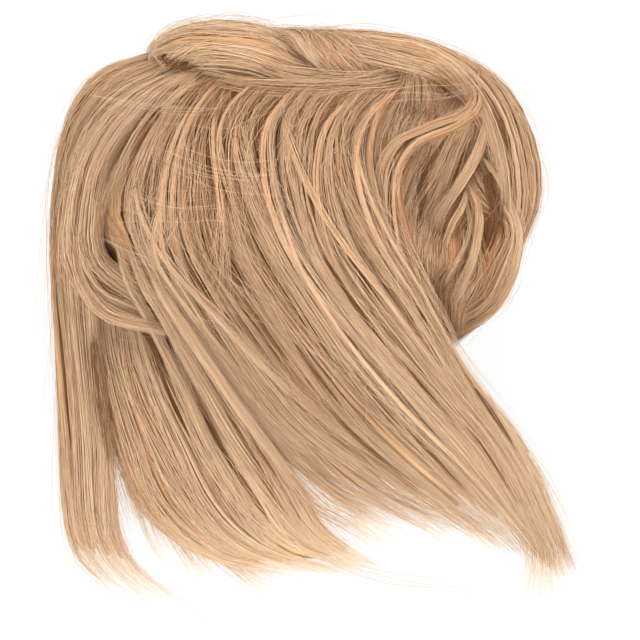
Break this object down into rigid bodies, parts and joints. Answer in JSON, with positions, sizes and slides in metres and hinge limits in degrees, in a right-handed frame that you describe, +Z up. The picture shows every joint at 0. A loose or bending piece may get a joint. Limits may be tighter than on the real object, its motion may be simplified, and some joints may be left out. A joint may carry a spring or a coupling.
{
  "type": "updo hairpiece",
  "caption": "Straight-haired updo hairpiece lying flat: a rolled bun with loops and a parting, long loose tails, and a hollow underside with an elastic band for a ponytail.",
  "frame": {"origin": "middle of the piece's bounding box at the height of the surface it lies on", "axes": "+Z up from the surface, +Y from the tails to the back roll, +X to the right of the piece seen from above"},
  "size_m": [0.2204, 0.2424, 0.0941],
  "materials": {
    "hair": "blond straight synthetic hair fibre, soft satin sheen",
    "elastic": "matte covered elastic, brown"
  },
  "bodies": {
    "root": {"elastic_band": "elastic", "inner_hair": "hair", "low_tail": "hair", "left_tail": "hair", "back_roll": "hair", "crown_locks": "hair", "inner_loop": "hair", "outer_loop": "hair", "left_curl": "hair", "fan_locks": "hair", "pocket_locks": "hair", "s_curl": "hair", "front_fall": "hair"}
  },
  "joints": []
}
